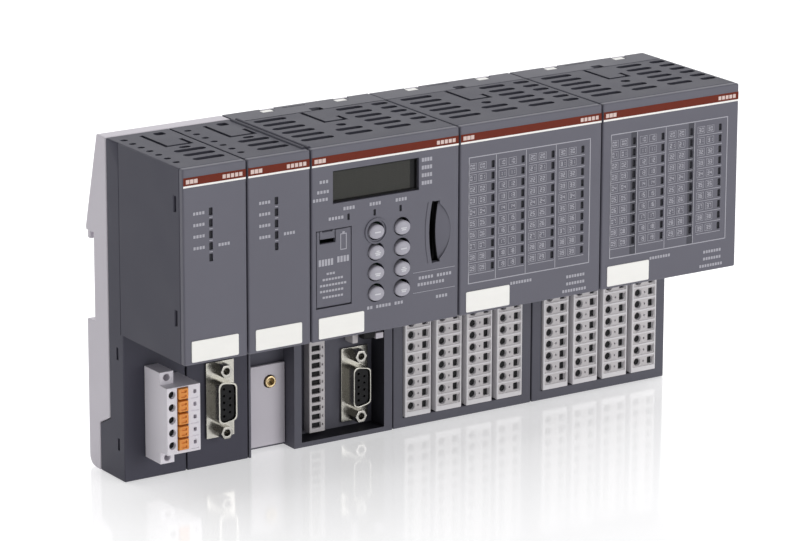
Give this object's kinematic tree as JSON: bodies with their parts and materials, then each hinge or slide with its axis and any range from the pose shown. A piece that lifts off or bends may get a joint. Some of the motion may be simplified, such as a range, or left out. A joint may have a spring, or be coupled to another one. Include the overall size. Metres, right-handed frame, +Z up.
{
  "type": "programmable controller row",
  "caption": "Rail-mounted controller row: terminal base with communication and processor modules, plus terminal units with input/output modules and spring terminals.",
  "frame": {"origin": "rail seat of the terminal base, at the height of the 35 mm rail's centre line and midway along the base", "axes": "+X along the rail to the right seen from the front, +Y to the rear towards the rail, +Z up"},
  "size_m": [0.2579, 0.0765, 0.135],
  "materials": {
    "dark_housing": "fine eroded texture, dark grey",
    "front_cover": "fine eroded texture, mid grey",
    "rear_grey": "fine texture, light grey",
    "terminal_grey": "smooth moulded, light grey",
    "key_grey": "smooth moulded",
    "lever_orange": "smooth moulded, orange",
    "black_insert": "smooth moulded, black",
    "board_green": "solder-resist lacquer",
    "display_glass": "clear window over a dark display",
    "shell_metal": "nickel plated steel",
    "latch_plastic": "smooth moulded, dark",
    "battery_metal": "coin cell can in a holder",
    "brass": "plated brass",
    "label_white": "write-on label plate",
    "band_orange": "printed band",
    "print_white": "printed marks and lines",
    "led_window": "smoked light guide"
  },
  "bodies": {
    "terminal_base": {"base_rear_housing": "rear_grey", "base_front_frame": "dark_housing", "base_circuit_board": "board_green", "fieldbus_plate": "rear_grey", "fieldbus_socket": "brass", "com2_shell": "shell_metal", "com2_insert": "black_insert"},
    "base_latch": {"base_rail_latch": "latch_plastic"},
    "com1_connector": {"com1_plug": "terminal_grey"},
    "comm_module_1": {"comm_module_1_housing": "dark_housing", "comm_module_1_front_cover": "front_cover", "comm_module_1_circuit_board": "board_green"},
    "pluggable_terminal": {"terminal_plug": "terminal_grey"},
    "lever_1": {"release_lever_1": "lever_orange"},
    "lever_2": {"release_lever_2": "lever_orange"},
    "lever_3": {"release_lever_3": "lever_orange"},
    "lever_4": {"release_lever_4": "lever_orange"},
    "lever_5": {"release_lever_5": "lever_orange"},
    "comm_module_2": {"comm_module_2_housing": "dark_housing", "comm_module_2_front_cover": "front_cover", "comm_module_2_circuit_board": "board_green", "dsub_shell": "shell_metal", "dsub_insert": "black_insert"},
    "cpu_module": {"cpu_housing": "dark_housing", "cpu_front_cover": "front_cover", "cpu_circuit_board": "board_green", "display_module": "display_glass", "battery": "battery_metal", "card_socket": "shell_metal"},
    "button_1": {"key_1": "key_grey"},
    "button_2": {"key_2": "key_grey"},
    "button_3": {"key_3": "key_grey"},
    "button_4": {"key_4": "key_grey"},
    "button_5": {"key_5": "key_grey"},
    "button_6": {"key_6": "key_grey"},
    "button_7": {"key_7": "key_grey"},
    "button_8": {"key_8": "key_grey"},
    "battery_flap": {"battery_door": "front_cover"},
    "terminal_unit_1": {"terminal_unit_1_rear_housing": "rear_grey", "terminal_unit_1_front_frame": "dark_housing", "terminal_unit_1_circuit_board": "board_green", "terminal_unit_1_block_1": "terminal_grey", "terminal_unit_1_block_2": "terminal_grey", "terminal_unit_1_block_3": "terminal_grey", "terminal_unit_1_block_4": "terminal_grey"},
    "unit_1_latch": {"terminal_unit_1_rail_latch": "latch_plastic"},
    "io_module_1": {"io_module_1_housing": "dark_housing", "io_module_1_front_cover": "front_cover", "io_module_1_circuit_board": "board_green"},
    "terminal_unit_2": {"terminal_unit_2_rear_housing": "rear_grey", "terminal_unit_2_front_frame": "dark_housing", "terminal_unit_2_circuit_board": "board_green", "terminal_unit_2_block_1": "terminal_grey", "terminal_unit_2_block_2": "terminal_grey", "terminal_unit_2_block_3": "terminal_grey", "terminal_unit_2_block_4": "terminal_grey"},
    "unit_2_latch": {"terminal_unit_2_rail_latch": "latch_plastic"},
    "io_module_2": {"io_module_2_housing": "dark_housing", "io_module_2_front_cover": "front_cover", "io_module_2_circuit_board": "board_green"}
  },
  "joints": [
    {"name": "base_latch_pull", "type": "slide", "parent": "terminal_base", "child": "base_latch", "axis": [0, 0, -1], "range_m": [0, 0.004], "stiffness_N_per_m": 1500},
    {"name": "com1_connector_pull", "type": "slide", "parent": "terminal_base", "child": "com1_connector", "axis": [0, -1, 0], "range_m": [0, 0.012]},
    {"name": "comm_module_1_pull", "type": "slide", "parent": "terminal_base", "child": "comm_module_1", "axis": [0, -1, 0], "range_m": [0, 0.03]},
    {"name": "terminal_plug_pull", "type": "slide", "parent": "comm_module_1", "child": "pluggable_terminal", "axis": [0, -1, 0], "range_m": [0, 0.02]},
    {"name": "lever_1_press", "type": "slide", "parent": "pluggable_terminal", "child": "lever_1", "axis": [0, 1, 0], "range_m": [0, 0.0015], "stiffness_N_per_m": 500},
    {"name": "lever_2_press", "type": "slide", "parent": "pluggable_terminal", "child": "lever_2", "axis": [0, 1, 0], "range_m": [0, 0.0015], "stiffness_N_per_m": 500},
    {"name": "lever_3_press", "type": "slide", "parent": "pluggable_terminal", "child": "lever_3", "axis": [0, 1, 0], "range_m": [0, 0.0015], "stiffness_N_per_m": 500},
    {"name": "lever_4_press", "type": "slide", "parent": "pluggable_terminal", "child": "lever_4", "axis": [0, 1, 0], "range_m": [0, 0.0015], "stiffness_N_per_m": 500},
    {"name": "lever_5_press", "type": "slide", "parent": "pluggable_terminal", "child": "lever_5", "axis": [0, 1, 0], "range_m": [0, 0.0015], "stiffness_N_per_m": 500},
    {"name": "comm_module_2_pull", "type": "slide", "parent": "terminal_base", "child": "comm_module_2", "axis": [0, -1, 0], "range_m": [0, 0.03]},
    {"name": "cpu_module_pull", "type": "slide", "parent": "terminal_base", "child": "cpu_module", "axis": [0, -1, 0], "range_m": [0, 0.03]},
    {"name": "button_1_press", "type": "slide", "parent": "cpu_module", "child": "button_1", "axis": [0, 1, 0], "range_m": [0, 0.0008], "stiffness_N_per_m": 400},
    {"name": "button_2_press", "type": "slide", "parent": "cpu_module", "child": "button_2", "axis": [0, 1, 0], "range_m": [0, 0.0008], "stiffness_N_per_m": 400},
    {"name": "button_3_press", "type": "slide", "parent": "cpu_module", "child": "button_3", "axis": [0, 1, 0], "range_m": [0, 0.0008], "stiffness_N_per_m": 400},
    {"name": "button_4_press", "type": "slide", "parent": "cpu_module", "child": "button_4", "axis": [0, 1, 0], "range_m": [0, 0.0008], "stiffness_N_per_m": 400},
    {"name": "button_5_press", "type": "slide", "parent": "cpu_module", "child": "button_5", "axis": [0, 1, 0], "range_m": [0, 0.0008], "stiffness_N_per_m": 400},
    {"name": "button_6_press", "type": "slide", "parent": "cpu_module", "child": "button_6", "axis": [0, 1, 0], "range_m": [0, 0.0008], "stiffness_N_per_m": 400},
    {"name": "button_7_press", "type": "slide", "parent": "cpu_module", "child": "button_7", "axis": [0, 1, 0], "range_m": [0, 0.0008], "stiffness_N_per_m": 400},
    {"name": "button_8_press", "type": "slide", "parent": "cpu_module", "child": "button_8", "axis": [0, 1, 0], "range_m": [0, 0.0008], "stiffness_N_per_m": 400},
    {"name": "battery_flap_hinge", "type": "hinge", "parent": "cpu_module", "child": "battery_flap", "pos_m": [0.00445, -0.0691, -0.0041], "axis": [1, 0, 0], "range_deg": [0, 95]},
    {"name": "terminal_unit_1_slide", "type": "slide", "parent": "terminal_base", "child": "terminal_unit_1", "axis": [1, 0, 0], "range_m": [0, 0.03]},
    {"name": "terminal_unit_2_slide", "type": "slide", "parent": "terminal_unit_1", "child": "terminal_unit_2", "axis": [1, 0, 0], "range_m": [0, 0.03]},
    {"name": "unit_1_latch_pull", "type": "slide", "parent": "terminal_unit_1", "child": "unit_1_latch", "axis": [0, 0, -1], "range_m": [0, 0.004], "stiffness_N_per_m": 1500},
    {"name": "io_module_1_pull", "type": "slide", "parent": "terminal_unit_1", "child": "io_module_1", "axis": [0, -1, 0], "range_m": [0, 0.03]},
    {"name": "unit_2_latch_pull", "type": "slide", "parent": "terminal_unit_2", "child": "unit_2_latch", "axis": [0, 0, -1], "range_m": [0, 0.004], "stiffness_N_per_m": 1500},
    {"name": "io_module_2_pull", "type": "slide", "parent": "terminal_unit_2", "child": "io_module_2", "axis": [0, -1, 0], "range_m": [0, 0.03]}
  ]
}
